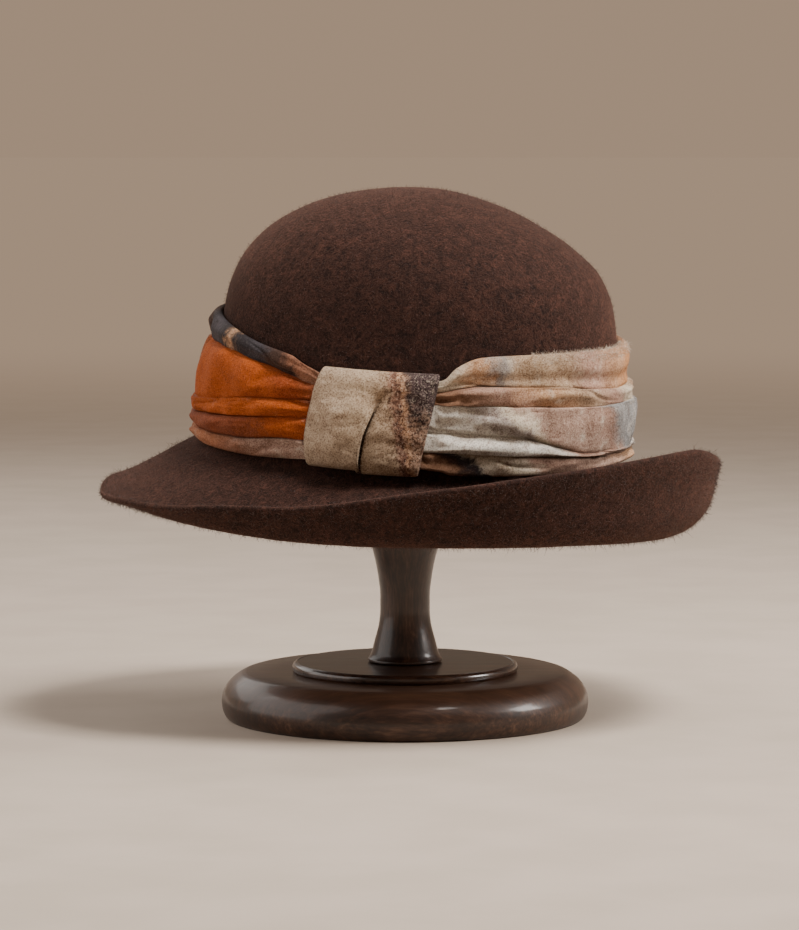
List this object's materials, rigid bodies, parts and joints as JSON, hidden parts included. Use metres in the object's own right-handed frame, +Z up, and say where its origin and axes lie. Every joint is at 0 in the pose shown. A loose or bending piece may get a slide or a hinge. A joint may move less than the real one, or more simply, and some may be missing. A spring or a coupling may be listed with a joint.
{
  "type": "cloche hat on a display stand",
  "caption": "Felt cloche hat with a gathered printed scarf band and side wrap, resting on a turned wooden display stand.",
  "frame": {"origin": "middle of the underside of the stand's base, on the surface it stands on", "axes": "+Z up, -X towards the hat's front, -Y towards the side with the scarf's wrap"},
  "size_m": [0.3118, 0.2892, 0.2676],
  "materials": {
    "felt": "brushed wool felt with a short nap",
    "scarf": "soft printed crepe cloth",
    "stand_wood": "dark stain under a satin varnish"
  },
  "bodies": {
    "root": {"felt_hood": "felt", "scarf_band": "scarf", "band_knot": "scarf", "stand_base": "stand_wood", "stand_stem": "stand_wood", "stand_head": "stand_wood"}
  },
  "joints": []
}
